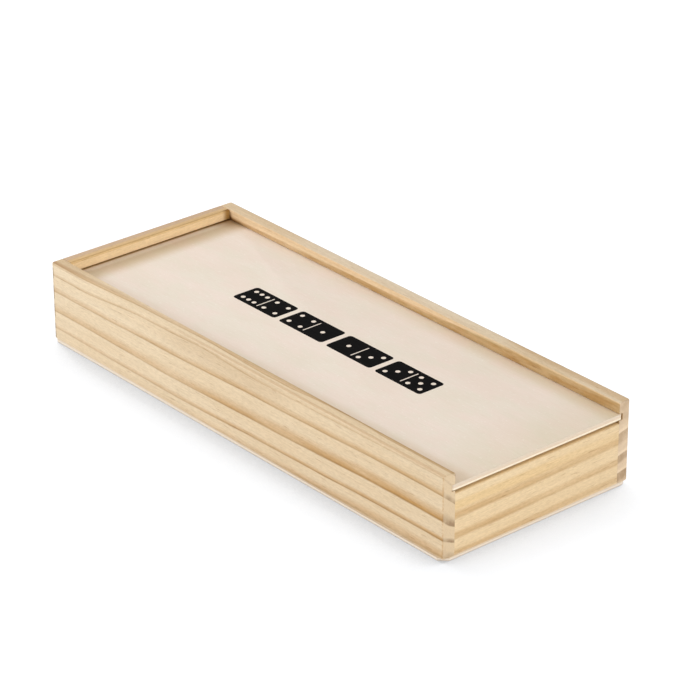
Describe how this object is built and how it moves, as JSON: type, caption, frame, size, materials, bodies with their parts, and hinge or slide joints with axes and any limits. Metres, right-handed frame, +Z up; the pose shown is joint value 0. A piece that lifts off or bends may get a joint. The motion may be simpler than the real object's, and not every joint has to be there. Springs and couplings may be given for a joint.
{
  "type": "domino storage box",
  "caption": "Shallow wooden box on a plywood base, whose thin plywood lid slides in grooves and pulls out over the low front board.",
  "frame": {"origin": "underside of the base, at the middle of the box", "axes": "+X along the length towards the open end that the lid slides out of, +Y across the box to the right side board as seen from the open end, +Z up"},
  "size_m": [0.2, 0.078, 0.03],
  "materials": {
    "pine_side": "sanded natural pine, growth rings along the board and end grain at its ends",
    "pine_end": "sanded natural pine, growth rings along the board",
    "plywood_base": "pale three-ply sheet, cut edges bare",
    "plywood_lid": "pale three-ply sheet with a smooth close-grained face veneer",
    "pin_steel": "bright steel panel pins"
  },
  "bodies": {
    "box": {"side_board_left": "pine_side", "side_board_right": "pine_side", "back_board": "pine_end", "front_board": "pine_end", "base_panel": "plywood_base", "base_pins": "pin_steel"},
    "lid": {"lid_panel": "plywood_lid"}
  },
  "joints": [
    {"name": "lid_slide", "type": "slide", "parent": "box", "child": "lid", "axis": [1, 0, 0], "range_m": [0, 0.2]}
  ]
}
